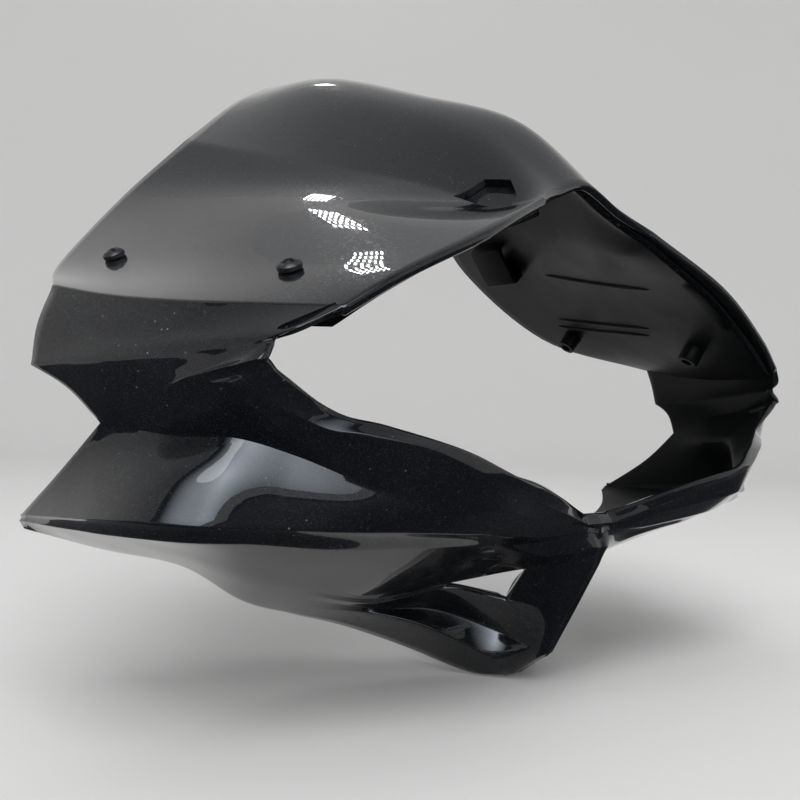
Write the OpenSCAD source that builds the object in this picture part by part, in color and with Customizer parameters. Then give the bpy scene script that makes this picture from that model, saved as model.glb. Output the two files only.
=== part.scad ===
// Motorbike headlight cowl: one moulded shell around the lamp opening, a
// separate visor panel on its deck and four pan-head screws. The cowl is
// symmetric about X = 0, its front is -Y, and the origin lies midway between
// the two upper mounting holes, on the rear faces of their boxes.

/* [Body] */
// Width across the two upper tails
cowl_w = 360; // [330:1:400]
// Depth from the chin bar back to the middle of the visor's rear edge
cowl_d = 238; // [215:1:265]
// Height of the visor's rear edge above the opening's lower edge
crown_h = 210; // [190:1:230]
// Depth of the keel below the opening's lower edge
keel_h = 78; // [70:1:88]
// Wall of the moulded shell
wall = 2.6; // [2:0.1:3.2]

/* [Surface relief] */
// How far the flute under the side crease is pressed in
flute = 1.8; // [0.5:0.1:3]
// Outward crown of the broad flank behind the opening
flank_crown = 3; // [1:0.5:6]

/* [Visor] */
// Wall of the visor panel
visor_t = 3; // [2:0.1:3.6]
// Gap between the visor panel and the deck that it lies on
visor_gap = 0.3; // [0.2:0.1:0.6]

/* [Screws] */
// Diameter of a screw's pan head
head_d = 8; // [6.5:0.1:9.5]
// Height of a screw's pan head
head_h = 3; // [2:0.1:4]
// Diameter of a screw's shank
shank_d = 4.8; // [4:0.1:5.5]
// Length of a screw's shank under its head
shank_l = 11; // [10:0.5:16]
// Radial clearance round a shank in the visor panel
screw_clear = 0.4; // [0.2:0.1:0.8]
// Width of a slot of the cross recess in a screw's head
recess_w = 1.2; // [0.8:0.1:1.6]

/* [Mounting] */
// Diameter of the bolt hole in each upper mounting box
mount_d = 8.5; // [6:0.1:10]
// Side of each upper mounting box
box_w = 24; // [20:1:30]
// Height of the round-ended flange on each side of the keel
lug_d = 15; // [10:1:18]

/* [Hidden] */
$fn = 40;

// Scale from the drawing below to the sizes above
drawn_w = 360;
drawn_d = 238;
drawn_crown = 210;
drawn_keel = 78;
function sized(p) = [
    p[0] * cowl_w / drawn_w,
    p[1] * cowl_d / drawn_d,
    p[2] * (p[2] > 0 ? crown_h / drawn_crown : keel_h / drawn_keel)
];

// Guide lines of the lower half, each from the centre plane back to the rear
// edge of the side lobe, as [half-width, back, up] at ten stations
opening_edge = [[0, 27, -8], [7, 28, -8], [38, 15, 0], [67, 7, 7], [88, 11, 16], [112, 20, 23],
                [126, 25, 26], [143, 26, 34], [149, 26, 38], [152, 26, 39]];
rim_crease = [[0, 25, -12], [8, 25, -12], [45, 15, -2], [78, 8, 7], [101, 12, 16], [120, 20, 20],
              [132, 26, 22], [152, 34, 32], [157, 43, 33], [160, 50, 34]];
cheek_valley = [[0, 25, -14], [8, 26, -13], [40, 19, -8], [75, 10, -2], [97, 17, 0], [115, 23, 5],
                [135, 28, 13], [150, 38, 18], [157, 60, 18], [166, 90, 21]];
lobe_shoulder = [[0, 25, -15], [8, 26, -14], [38, 22, -11], [75, 13, -5], [97, 20, -4], [117, 27, -1],
                 [136, 33, 4], [155, 40, 8], [167, 56, 11], [171, 107, 6]];
side_crease = [[0, 25, -16], [8, 26, -15], [36, 26, -15], [71, 21, -11], [97, 26, -9], [119, 31, -8],
               [138, 39, -7], [158, 47, -6], [170, 70, -6], [172, 138, -11]];
belly_ridge = [[0, 26, -18], [7, 26, -17], [33, 32, -18], [64, 29, -16], [88, 38, -16], [114, 42, -15],
               [138, 46, -12], [157, 54, -11], [166, 86, -12], [172, 139, -13]];
hem = [[0, 68, -78], [4, 68, -78], [12, 80, -78], [30, 98, -69], [52, 112, -60], [72, 121, -54],
       [95, 121, -46], [122, 118, -30], [148, 126, -23], [170, 140, -16]];
// Edges of the slot beside the keel, from the centre plane to its rear tip
slot_top = [[0, 25, -21], [5, 25, -21], [20, 34, -24], [44, 50, -26], [60, 86, -42]];
slot_top_in = [[0, 27, -28], [4, 29, -28], [14, 49, -31], [34, 70, -38], [57, 88, -44]];
slot_sill = [[0, 38, -46], [4, 39, -46], [13, 60, -45], [35, 72, -40], [56, 89, -46]];
strip_in = [[0, 48, -64], [4, 49, -63], [12, 64, -58], [38, 76, -48], [55, 90, -48]];
strip_out = [[0, 64, -76], [4, 64, -76], [14, 71, -68], [34, 81, -57], [53, 92, -51]];

// Guide lines of the flank above the side lobe, each from the rim of the
// opening back to the rear edge, from the notch up to the visor's lower edge
flank_edge = [[152, 26, 39], [150, 26, 42], [146, 27, 45], [139, 27, 46], [128, 29, 52]];
flank_rim = [[160, 50, 34], [157, 43, 37], [150, 30, 44], [141, 23, 49], [127, 23, 56]];
flank_mid = [[165, 70, 28], [168, 72, 35], [168, 70, 41], [162, 66, 48], [156, 60, 56]];
flank_rear = [[166, 90, 21], [173, 98, 31], [180, 110, 38], [178, 112, 51], [173, 114, 64]];

// Guide lines of the visor, each from its front edge to its rear edge, from
// the lower edge over the crease to the centre plane
visor_lower = [[127, 23, 56], [142, 37, 55], [156, 60, 56], [166, 87, 59], [173, 114, 64]];
visor_side_a = [[105, 18, 66], [118, 50, 71], [131, 90, 75], [142, 130, 78], [150, 170, 82]];
visor_side_b = [[72, 14, 84], [80, 60, 95], [90, 108, 105], [101, 155, 113], [112, 201, 121]];
visor_crease = [[36, 16, 99], [41, 44, 103], [50, 78, 116], [64, 125, 130], [84, 200, 152]];
visor_top = [[20, 18, 108], [23, 68, 139], [28, 116, 163], [34, 170, 183], [40, 222, 190]];
visor_centre = [[0, 20, 113], [0, 72, 152], [0, 124, 175], [0, 182, 198], [0, 238, 210]];

// Point on a smooth curve through four neighbouring points
function curve_at(a, b, c, d, t) =
    b + t / 2 * (c - a + t * (2 * a - 5 * b + 4 * c - d + t * (3 * (b - c) + d - a)));

// Smooth curve through points, with n steps between neighbours
function curve(p, n) = let (last = len(p) - 1) [
    for (i = [0:last - 1], k = [0:n - 1])
        curve_at(i == 0 ? 2 * p[0] - p[1] : p[i - 1], p[i], p[i + 1],
                 i == last - 1 ? 2 * p[last] - p[last - 1] : p[i + 2], k / n),
    p[last]
];

// The same curve broken at the point numbered corner
function part_of(p, from, to) = [for (i = [from:to]) p[i]];
function bent_curve(p, corner, n) = concat(
    part_of(curve(part_of(p, 0, corner), n), 0, corner * n - 1),
    curve(part_of(p, corner, len(p) - 1), n));
function mix(a, b, t) = a + (b - a) * t;
function unit(v) = v / norm(v);
function sized_all(p) = [for (q = p) sized(q)];
function mirrored(p) = [for (q = p) [-q[0], q[1], q[2]]];

// Straight run of points from a to b without b
function run(a, b, n) = [for (k = [0:n - 1]) mix(a, b, k / n)];

// Steps of the surface between neighbouring stations and across each band
STEPS = 3;
CHIN_CORNER = 1;
SLOT_END = 4;
LIP = 2;
CHEEK = 8;
BAND = 2;
FLANK_STEPS = 2;
DECK_STEPS = 3;
VISOR_CREASE = 3;

// Slot lines carried on to the rear edge over the plain belly
function carried(p, share) = concat(p,
    [for (i = [SLOT_END + 1:len(hem) - 1]) mix(belly_ridge[i], hem[i], share)]);
low_lines = [
    bent_curve(sized_all(opening_edge), CHIN_CORNER, STEPS),
    bent_curve(sized_all(rim_crease), CHIN_CORNER, STEPS),
    curve(sized_all(cheek_valley), STEPS),
    curve(sized_all(lobe_shoulder), STEPS),
    curve(sized_all(side_crease), STEPS),
    curve(sized_all(belly_ridge), STEPS),
    curve(sized_all(carried(slot_top, 0.4)), STEPS),
    curve(sized_all(carried(slot_top_in, 0.55)), STEPS),
    curve(sized_all(carried(slot_sill, 0.62)), STEPS),
    curve(sized_all(carried(strip_in, 0.7)), STEPS),
    curve(sized_all(carried(strip_out, 0.85)), STEPS),
    curve(sized_all(hem), STEPS)
];

// One station of the lower half, from the opening's edge to the hem
function low_row(i) = let (
    q = [for (l = low_lines) l[i]],
    groove = mix(q[4], q[5], 0.5)
) concat(
    run(q[0], q[1], LIP),
    run(q[1], q[2], CHEEK),
    part_of(curve([q[2], q[3], q[4]], BAND), 0, 2 * BAND - 1),
    [q[4], groove + flute / 2 * unit(q[0] - groove)],
    run(q[5], q[6], BAND),
    [q[6]],
    part_of(q, 7, 11)
);
low_rows = [for (i = [0:len(low_lines[0]) - 1]) low_row(i)];
last_low = len(low_rows) - 1;
SLOT_COLUMN = LIP + CHEEK + 4 * BAND + 1;
slot_rows = [2 * STEPS, 3 * STEPS - 1];

// Flank rows between the side lobe and the visor's lower edge
flank_lines = [for (l = [flank_edge, flank_rim, flank_mid, flank_rear])
    curve(sized_all(l), FLANK_STEPS)];
flank_last = len(flank_lines[0]) - 1;
function crowned(p, i) = p + [(flank_crown - 3) * sin(180 * i / flank_last), 0, 0];
flank_rows = [for (i = [1:flank_last])
    let (q = [for (l = flank_lines) l[i]])
    concat(run(q[0], q[1], LIP), i == flank_last
        ? curve(sized_all(visor_lower), CHEEK / 4)
        : curve([q[1], crowned(q[2], i), q[3]], CHEEK / 2))];

// Outer surface of the visor, from its lower edge over the centre plane to
// the lower edge of the other side
visor_lines = [for (l = [visor_lower, visor_side_a, visor_side_b, visor_crease, visor_top, visor_centre])
    curve(sized_all(l), CHEEK / 4)];
visor_columns = [for (c = [0:CHEEK])
    bent_curve([for (l = visor_lines) l[c]], VISOR_CREASE, DECK_STEPS)];
visor_last = len(visor_columns[0]) - 1;
visor_half = [for (r = [0:visor_last]) [for (c = [0:CHEEK]) visor_columns[c][r]]];
visor_rows = concat(visor_half, [for (r = [1:visor_last]) mirrored(visor_half[visor_last - r])]);

// Outward direction at one point of a grid of rows
function facing(rows, ring, k, c) = let (
    count = len(rows),
    a = rows[ring ? (k + count - 1) % count : max(k - 1, 0)],
    b = rows[ring ? (k + 1) % count : min(k + 1, count - 1)],
    r = rows[k],
    along_c = r[min(c + 1, len(r) - 1)] - r[max(c - 1, 0)],
    along_k = (c < len(b) ? b[c] : r[c]) - (c < len(a) ? a[c] : r[c])
) unit(cross(along_c, along_k));

// The same direction evened out over its neighbours in the row
function outward(rows, ring, k, c) = let (last = len(rows[k]) - 1)
    unit(facing(rows, ring, k, max(c - 1, 0)) + 2 * facing(rows, ring, k, c)
         + facing(rows, ring, k, min(c + 1, last)));
function sunk(rows, ring, depth) = [for (k = [0:len(rows) - 1])
    [for (c = [0:len(rows[k]) - 1]) rows[k][c] - depth * outward(rows, ring, k, c)]];

// Deck rows under the visor, with the lip that turns in at the opening
deck_grid = sunk(visor_rows, false, visor_t + visor_gap);
LIP_DEPTH = 6;
function deck_row(r) = let (
    front = deck_grid[r][0],
    inner = front - LIP_DEPTH * outward(visor_rows, false, r, 0) + [0, 3, 0]
) concat(run(inner, front, LIP), deck_grid[r]);
upper_rows = concat(flank_rows, [for (r = [0:visor_last]) deck_row(r)]);

// The whole ring, from the chin over one side and the top to the other side
half_rows = concat(low_rows, upper_rows);
half_last = len(half_rows) - 1;
shell_rows = concat(half_rows, [for (k = [1:half_last - 1]) mirrored(half_rows[half_last - k])]);
open_cells = [for (k = [slot_rows[0]:slot_rows[1]])
    each [[k, SLOT_COLUMN], [len(shell_rows) - 1 - k, SLOT_COLUMN]]];

// Where each row starts in the list of all points
function starts(rows, k = 0, at = 0, found = []) =
    k == len(rows) ? found : starts(rows, k + 1, at + len(rows[k]), concat(found, at));

// Whether the grid has a cell between row k and the next in column c
function has_cell(rows, ring, gaps, k, c) = let (count = len(rows))
    c >= 0 && (ring || (k >= 0 && k < count - 1))
    && c < min(len(rows[(k + count) % count]), len(rows[(k + 1 + count) % count])) - 1
    && len([for (g = gaps) if (g == [(k + count) % count, c]) g]) == 0;

// Side of a cell closed off between the outer and the inner grid
function wall_faces(p, q, n) = [[q, p, p + n], [q, p + n, q + n]];

// Solid between a grid of rows and the same grid sunk by its wall
module panel(outer, inner, ring, gaps) {
    start = starts(outer);
    count = len(outer);
    points = concat([for (r = outer) each r], [for (r = inner) each r]);
    n = len(points) / 2;
    faces = [
        for (k = [0:count - 1])
            for (c = [0:len(outer[k]) - 2])
                if (has_cell(outer, ring, gaps, k, c))
                    let (
                        a = start[k] + c,
                        d = start[(k + 1) % count] + c,
                        short = norm(points[a] - points[d + 1]) < norm(points[d] - points[a + 1])
                    )
                    each concat(
                        short ? [[a, d, d + 1], [a, d + 1, a + 1]] : [[a, d, a + 1], [d, d + 1, a + 1]],
                        short ? [[a + n, d + 1 + n, d + n], [a + n, a + 1 + n, d + 1 + n]]
                              : [[a + n, a + 1 + n, d + n], [d + n, a + 1 + n, d + 1 + n]],
                        has_cell(outer, ring, gaps, k, c - 1) ? [] : wall_faces(a, d, n),
                        has_cell(outer, ring, gaps, k, c + 1) ? [] : wall_faces(d + 1, a + 1, n),
                        has_cell(outer, ring, gaps, k - 1, c) ? [] : wall_faces(a + 1, a, n),
                        has_cell(outer, ring, gaps, k + 1, c) ? [] : wall_faces(d, d + 1, n)
                    )
    ];
    polyhedron(points = points, faces = faces, convexity = 12);
}

// Places on the visor's grid as [row, column], and a frame with Z outward
front_spot = [2.6, 2.3];
rear_spot = [3.2, 6.4];
function spot_point(s) = let (r = floor(s[0]), c = floor(s[1]))
    mix(mix(visor_half[r][c], visor_half[r + 1][c], s[0] - r),
        mix(visor_half[r][c + 1], visor_half[r + 1][c + 1], s[0] - r), s[1] - c);
function spot_out(s) = let (r = floor(s[0]), c = floor(s[1]))
    unit(cross(visor_half[r + 1][c + 1] - visor_half[r][c], visor_half[r + 1][c] - visor_half[r][c + 1]));
module at_spot(s, side) {
    p = spot_point(s);
    v = spot_out(s);
    mirror([side < 0 ? 1 : 0, 0, 0])
        translate(p)
            rotate([0, acos(v[2]), atan2(v[1], v[0])])
                children();
}

// Pan-head screw with its seat in the XY plane and its shank down -Z
module screw() {
    difference() {
        union() {
            rotate_extrude()
                polygon([[0, 0], [head_d / 2, 0], [head_d / 2, head_h * 0.5], [head_d * 0.46, head_h * 0.72],
                         [head_d * 0.36, head_h * 0.9], [head_d * 0.2, head_h], [0, head_h]]);
            translate([0, 0, -shank_l + 2])
                cylinder(d = shank_d, h = shank_l - 2 + 0.01);
            translate([0, 0, -shank_l])
                cylinder(d1 = 1, d2 = shank_d, h = 2);
        }
        for (a = [0, 90])
            rotate([0, 0, a + 20])
                translate([-head_d * 0.3, -recess_w / 2, head_h * 0.35])
                    cube([head_d * 0.6, recess_w, head_h]);
    }
}

BOSS_D = 10;
BOSS_CLEAR = 0.1;

// Boss for one screw, on the inner side of the deck
module screw_boss() {
    top = visor_t + visor_gap + 0.6;
    translate([0, 0, -shank_l - 3])
        cylinder(d = BOSS_D, h = shank_l + 3 - top);
}
module screw_bore() {
    translate([0, 0, -shank_l - 1])
        cylinder(d = shank_d + 2 * BOSS_CLEAR, h = shank_l + 2);
}

// Open box under the deck, with a bolt hole along Y through its rear wall
mount_hole = sized([84, 162, 115]);
mount_spot = [7.4, 6.0];
MOUNT_LEAN = 48;
BOX_L = 20;
BOX_H = 18;
BOX_WALL = 2.5;
PLATE_T = 4;
module at_mount(side) {
    mirror([side < 0 ? 1 : 0, 0, 0])
        translate(mount_hole)
            rotate([0, MOUNT_LEAN, 0])
                children();
}
module mount_box(side) {
    difference() {
        at_mount(side)
            translate([-box_w / 2, -BOX_L, -BOX_H / 2])
                cube([box_w, BOX_L, BOX_H + 12]);
        at_spot(mount_spot, side)
            translate([-50, -50, -visor_t - visor_gap - 1])
                cube([100, 100, 60]);
    }
}
module mount_pocket() {
    translate([-box_w / 2 + BOX_WALL, -BOX_L - 1, -BOX_H / 2 + BOX_WALL])
        cube([box_w - 2 * BOX_WALL, BOX_L - PLATE_T + 1, BOX_H - 2 * BOX_WALL]);
}
module mount_bore() {
    translate([0, 1, 0])
        rotate([90, 0, 0])
            cylinder(d = mount_d, h = PLATE_T + 2);
}

// Upright flange with a round front end, behind the slot beside the keel
LUG_T = 3;
LUG_L = 15;
lug_at = sized([27, 61, -50]);
module lug() {
    translate(lug_at) {
        rotate([0, 90, 0])
            cylinder(d = lug_d, h = LUG_T);
        translate([0, 0, -lug_d / 2])
            cube([LUG_T, LUG_L, lug_d]);
    }
}

// Everything is drawn from the middle of the chin and then moved to the origin
module placed() {
    translate([0, -mount_hole[1], -mount_hole[2]])
        children();
}

module cowl_shell() {
    color([0.03, 0.035, 0.045])
        placed() difference() {
            union() {
                panel(shell_rows, sunk(shell_rows, true, wall), true, open_cells);
                for (side = [-1, 1]) {
                    at_spot(front_spot, side) screw_boss();
                    at_spot(rear_spot, side) screw_boss();
                    mount_box(side);
                    mirror([side < 0 ? 1 : 0, 0, 0]) lug();
                }
            }
            for (side = [-1, 1]) {
                at_spot(front_spot, side) screw_bore();
                at_spot(rear_spot, side) screw_bore();
                at_mount(side) mount_pocket();
                at_mount(side) mount_bore();
            }
        }
}

// Vent beside the front end of the visor's crease, in the plane at its spot
vent_spot = [10.5, 1.6];
vent_outline = [[13, 17], [9, 11], [4, 6], [6, -4], [16, -7], [22, -5], [25, -1]];

// Visor panel, clear of the ledge that its lower edge lies against
clear_rows = [for (k = [0:len(visor_rows) - 1])
    k == 0 ? [for (c = [0:CHEEK]) visor_rows[0][c] + visor_gap * unit(visor_rows[1][c] - visor_rows[0][c])]
    : k == len(visor_rows) - 1
        ? [for (c = [0:CHEEK]) visor_rows[k][c] + visor_gap * unit(visor_rows[k - 1][c] - visor_rows[k][c])]
    : visor_rows[k]];
module visor_panel() {
    color([0.03, 0.035, 0.045])
        placed() difference() {
            panel(clear_rows, sunk(clear_rows, false, visor_t), false, []);
            for (side = [-1, 1])
                at_spot(vent_spot, side)
                    linear_extrude(height = 24, center = true)
                        polygon(vent_outline);
            for (side = [-1, 1], s = [front_spot, rear_spot])
                at_spot(s, side)
                    translate([0, 0, -visor_t - 4])
                        cylinder(d = shank_d + 2 * screw_clear, h = visor_t + 8);
        }
}

module seated(s, side) {
    color([0.1, 0.1, 0.11])
        placed() at_spot(s, side)
            translate([0, 0, visor_gap])
                screw();
}
module screw_front_left() { seated(front_spot, 1); }
module screw_front_right() { seated(front_spot, -1); }
module screw_rear_left() { seated(rear_spot, 1); }
module screw_rear_right() { seated(rear_spot, -1); }

cowl_shell();
visor_panel();
screw_front_left();
screw_front_right();
screw_rear_left();
screw_rear_right();
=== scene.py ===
"""Motorbike headlight cowl: moulded shell, visor panel and screws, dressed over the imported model."""

import bpy
import numpy as np
from bpy.props import FloatProperty, FloatVectorProperty, PointerProperty
from bpy.types import Operator, Panel, PropertyGroup
from mathutils import Matrix, Vector


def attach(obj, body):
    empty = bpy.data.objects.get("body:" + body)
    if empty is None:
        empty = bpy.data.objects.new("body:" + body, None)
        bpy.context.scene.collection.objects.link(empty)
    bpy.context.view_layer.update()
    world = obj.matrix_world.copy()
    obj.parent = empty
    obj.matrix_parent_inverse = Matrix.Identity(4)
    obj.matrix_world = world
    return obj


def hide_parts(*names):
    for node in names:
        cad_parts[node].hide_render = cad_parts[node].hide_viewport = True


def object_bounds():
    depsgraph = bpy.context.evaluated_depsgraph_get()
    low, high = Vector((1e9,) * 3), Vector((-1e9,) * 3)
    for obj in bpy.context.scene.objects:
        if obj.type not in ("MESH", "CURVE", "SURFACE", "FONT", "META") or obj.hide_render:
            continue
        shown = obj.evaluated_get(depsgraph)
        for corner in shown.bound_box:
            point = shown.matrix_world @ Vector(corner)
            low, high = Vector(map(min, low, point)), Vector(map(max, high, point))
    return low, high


bl_info = {
    "name": "Headlight cowl",
    "version": (1, 0, 0),
    "blender": (4, 5, 0),
    "location": "3D View > Sidebar > Cowl",
    "description": "Shell, visor, screws and stage of a motorbike headlight cowl",
    "category": "Mesh",
}

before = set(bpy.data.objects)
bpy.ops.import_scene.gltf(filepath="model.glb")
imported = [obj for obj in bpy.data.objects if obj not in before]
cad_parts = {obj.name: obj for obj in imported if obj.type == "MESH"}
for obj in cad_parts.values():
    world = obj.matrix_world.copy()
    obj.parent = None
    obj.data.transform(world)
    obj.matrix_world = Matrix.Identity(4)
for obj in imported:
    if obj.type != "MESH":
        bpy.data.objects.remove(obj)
CAD_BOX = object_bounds()

# All guide points are in millimetres, measured from the middle of the chin as
# [half-width, back, up]. The frame's origin lies between the mounting holes.
MM = 0.001
MOUNT_HOLE = np.array([84.0, 162.0, 115.0])
TO_FRAME = np.array([0.0, 162.0, 115.0])

# Guide lines of the lower half at ten stations, from the chin to the rear edge
LOW = {
    "edge": [[0, 27, -8], [7, 28, -8], [38, 15, 0], [67, 7, 7], [88, 11, 16],
             [112, 20, 23], [126, 25, 26], [143, 26, 34], [149, 26, 38], [152, 26, 39]],
    "rim": [[0, 25, -12], [8, 25, -12], [45, 15, -2], [78, 8, 7], [101, 12, 16],
            [120, 20, 20], [132, 26, 22], [152, 34, 32], [157, 43, 33], [160, 50, 34]],
    "valley": [[0, 25, -14], [8, 26, -13], [40, 19, -8], [75, 10, -2], [96, 19, 0],
               [112, 27, 5], [130, 37, 13], [145, 47, 18], [154, 66, 18], [166, 90, 21]],
    "shoulder": [[0, 25, -15], [8, 26, -14], [38, 22, -11], [73.5, 15, -6], [96.5, 22, -4.5],
                 [116, 28.5, -1], [134, 37, 3.5], [152, 46, 7], [163, 66, 7], [170, 111, 5]],
    "side": [[0, 25, -16], [8, 26, -15], [36, 26, -15], [71, 21, -11], [97, 26, -9],
             [119, 31, -8], [138, 39, -7], [158, 47, -6], [170, 70, -6], [172, 138, -11]],
    "ridge": [[0, 26, -18], [7, 26, -17], [33, 32, -18], [64, 29, -16], [88, 38, -16],
              [114, 42, -15], [138, 46, -12], [157, 54, -11], [166, 86, -12], [172, 139, -13]],
    "hem": [[0, 68, -78], [4, 68, -78], [12, 80, -78], [30, 98, -69], [52, 112, -60],
            [72, 121, -54], [95, 121, -46], [122, 118, -30], [148, 126, -23], [170, 140, -16]],
}
# Edges of the slot beside the keel at the first five stations, and how far
# between the belly ridge and the hem each runs on from there
SLOT = {
    "slot_top": ([[0, 25, -21], [5, 25, -21], [20, 34, -24], [44, 50, -26], [60, 86, -42]], 0.4),
    "slot_in": ([[0, 27, -28], [4, 29, -28], [14, 49, -31], [34, 70, -38], [57, 88, -44]], 0.55),
    "sill": ([[0, 38, -46], [4, 39, -46], [13, 60, -45], [35, 72, -40], [56, 89, -46]], 0.62),
    "strip_in": ([[0, 48, -66], [4, 50, -64], [6, 69, -60], [28, 84, -51], [52, 93, -49]], 0.7),
    "strip_out": ([[0, 64, -76], [4, 64, -76], [14, 71, -68], [34, 81, -57], [53, 92, -51]], 0.85),
}
CHIN_CORNER = 1
HOLE_STATIONS = (2, 3)

# Guide lines of the flank from the notch up to the visor's lower edge
FLANK = {
    "edge": [[152, 26, 39], [150, 26, 41], [147, 27, 44], [141, 26, 47], [130, 23, 52]],
    "rim": [[160, 50, 34], [156, 43, 37], [149, 30, 44], [142, 22, 48], [131, 18, 54]],
    "middle": [[165, 70, 28], [168, 72, 35], [168, 70, 41], [162, 66, 48], [156, 60, 56]],
    "rear": [[166, 90, 21], [173, 98, 31], [180, 110, 38], [178, 112, 51], [173, 114, 64]],
}

# Guide lines of the visor, each from its front edge to its rear edge, from the
# lower edge over the crease to the centre plane
VISOR = [
    [[131, 18, 54], [142, 37, 55], [156, 60, 56], [166, 87, 59], [173, 114, 64]],
    [[110, 16, 67], [118, 50, 71], [131, 90, 75], [142, 130, 78], [150, 170, 82]],
    [[74, 16, 85], [80, 60, 95], [90, 108, 105], [101, 155, 113], [112, 201, 121]],
    [[36, 27, 104], [41, 44, 103], [50, 78, 116], [64, 125, 130], [84, 200, 152]],
    [[20, 32, 110], [23, 68, 139], [28, 116, 163], [34, 170, 183], [40, 222, 190]],
    [[0, 34, 117], [0, 72, 152], [0, 124, 175], [0, 182, 198], [0, 238, 210]],
]
VISOR_CREASE = 3

# Places on the visor's guide grid, in steps of a third across it and half along it
FRONT_SPOT = (2.6, 2.3)
REAR_SPOT = (3.2, 6.4)
MOUNT_SPOT = (7.4, 6.0)
VENT_SPOT = (10.5, 1.6)
VENT_OUTLINE = [[13, 17], [9, 11], [4, 6], [6, -4], [16, -7], [22, -5], [25, -1]]

# Low ribs on the inner side of the upper part, each from its rear end to its front end
RIBS = {
    "upper": [[87.7, 123.6, 104.1], [84.8, 98.8, 97.9], [80.8, 75.3, 92.5], [76.5, 53.5, 88.0]],
    "middle": [[124.1, 142.1, 85.7], [122.0, 125.3, 82.6], [118.3, 103.0, 79.1], [112.2, 75.0, 74.6]],
    "lower": [[130.3, 146.8, 82.5], [128.4, 129.8, 79.5], [124.8, 107.2, 76.2], [118.9, 79.0, 71.8]],
}

# How many steps each surface takes between stations and across each band
ROW_STEPS = 12
LIP_STEPS = 3
CHEEK_STEPS = 24
LOBE_STEPS = 6
FLUTE_STEPS = 5
BELLY_STEPS = (8, 4, 5, 4, 4, 5)
FLANK_STEPS = 8
DECK_STEPS = 9
VISOR_STEPS = 14
VISOR_ALONG = 12
FILLET_STEPS = 4

# Rounding of the shell's creases, as a share of its crease radius
CREASES = {"strip_out": 0.5, "strip_in": 0.5, "sill": 0.6, "slot_in": 0.6, "slot_top": 0.8,
           "ridge": 0.7, "side": 0.6}
WAVE_HEIGHT = 0.10
# The deck's front starts this share of a cell behind the visor's, and its lip
# turns in and back by so many millimetres
DECK_START = 0.75
LIP_IN = 1.5
LIP_BACK = 3.5

# Screw thread and recess, mounting box and keel flange, in millimetres and degrees
THREAD_PITCH = 0.8
THREAD_DEPTH = 0.45
THREAD_TURNS = 10
RECESS_TURN = 20
BOX_LEAN = 48
BOX_LENGTH = 20.0
BOX_HALF = 9.0
BOX_WALL = 2.5
BOX_PLATE = 4.0
FLANGE_AT = np.array([9.0, 86.0, -56.5])
FLANGE_THICK = 3.0
FLANGE_LENGTH = 15.0

# Each lamp's place and target in metres, its size, its power and whether the
# gloss reflects it
LAMPS = (
    ("key", (-1.25, -0.75, 1.15), (-0.1, 0.0, -0.1), 0.75, 5, True),
    ("front", (-0.9, -1.3, 1.5), (-0.1, -0.1, -0.1), 1.6, 27, False),
    ("top", (0.1, -0.1, 2.4), (0.1, 0.1, -0.1), 2.0, 9, False),
    ("back", (1.3, 1.6, 2.3), (0.2, 0.3, -0.1), 1.2, 3, False),
)
WORLD_COLOUR = (0.40, 0.405, 0.41, 1.0)
CAMERA_AT = (-0.2708, -0.3218, -0.0911)
CAMERA_VIEW = (0.6714, 0.7407, 0.0255)
CAMERA_RIGHT = (0.7401, -0.6719, 0.0281)

# Stage sizes in millimetres. The floor is flat out to its first radius, then
# sweeps up by the second and on by the last.
FLOOR_FLAT = 1700.0
FLOOR_SWEEP = 900.0
FLOOR_TOP = 1900.0
SCREEN_OUT = np.array([110.0, 700.0, 1100.0, 1200.0, 1250.0, 1250.0])
SCREEN_UP = np.array([0.0, 0.0, 0.0, 10.0, 20.0, 60.0])
SCREEN_TURN = (-115, 70)
LED_MIDDLE = np.array([755.0, 1490.0, 1757.0])
LED_COUNT = 6
LED_PITCH = 21.0
LED_RADIUS = 4.4
LED_STRENGTH = 60.0
SOFT_BOX_RADIUS = 2.0
SOFT_BOX_REACH = 1.5
SOFT_BOX_MIDDLE = np.array([-0.55, -0.72, 0.47])
SOFT_BOX_COLOUR = (0.82, 0.9, 1.0)
SOFT_BOX_STRENGTH = 9.0


def length(name, description, default):
    """Setting for a length in metres."""
    return FloatProperty(name=name, description=description, default=default, unit="LENGTH")


def colour(name, description, default):
    """Setting for a colour."""
    return FloatVectorProperty(name=name, description=description, default=default, subtype="COLOR")


class ShellSettings(PropertyGroup):
    wall: length("Wall", "Wall of the moulded shell", 0.0026)
    flute: length("Flute", "Depth of the flute under the side crease", 0.0018)
    crease: length("Crease radius", "Rounding of the shell's creases", 0.0016)


class VisorSettings(PropertyGroup):
    wall: length("Wall", "Wall of the visor panel", 0.003)
    gap: length("Gap", "Gap between the visor panel and the deck", 0.0003)
    crease: length("Crease radius", "Rounding of the visor's side creases", 0.0022)


class FittingSettings(PropertyGroup):
    head: length("Screw head", "Diameter of a screw's pan head", 0.008)
    head_height: length("Head height", "Height of a screw's pan head", 0.003)
    shank: length("Shank", "Diameter of a screw's shank", 0.0048)
    shank_length: length("Shank length", "Length under the head", 0.011)
    bolt_hole: length("Bolt hole", "Bolt hole of each mounting box", 0.0085)
    box: length("Mounting box", "Side of each mounting box", 0.024)
    rib: length("Rib", "Half the width of the ribs on the inner side", 0.0011)
    lug: length("Flange", "Height of the flange on each side of the keel", 0.015)


class FinishSettings(PropertyGroup):
    gloss: colour("Gloss black", "Colour of the gloss finish", (0.0035, 0.004, 0.0052))
    flake: colour("Flake", "Colour of the pearl flakes", (0.010, 0.013, 0.019))
    inside: colour("Inside", "Colour of the bare plastic inside", (0.0028, 0.0036, 0.0036))
    screw: colour("Screws", "Colour of the blackened screws", (0.05, 0.05, 0.052))
    dust: colour("Dust", "Colour of the fine dust", (0.42, 0.43, 0.44))


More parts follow.
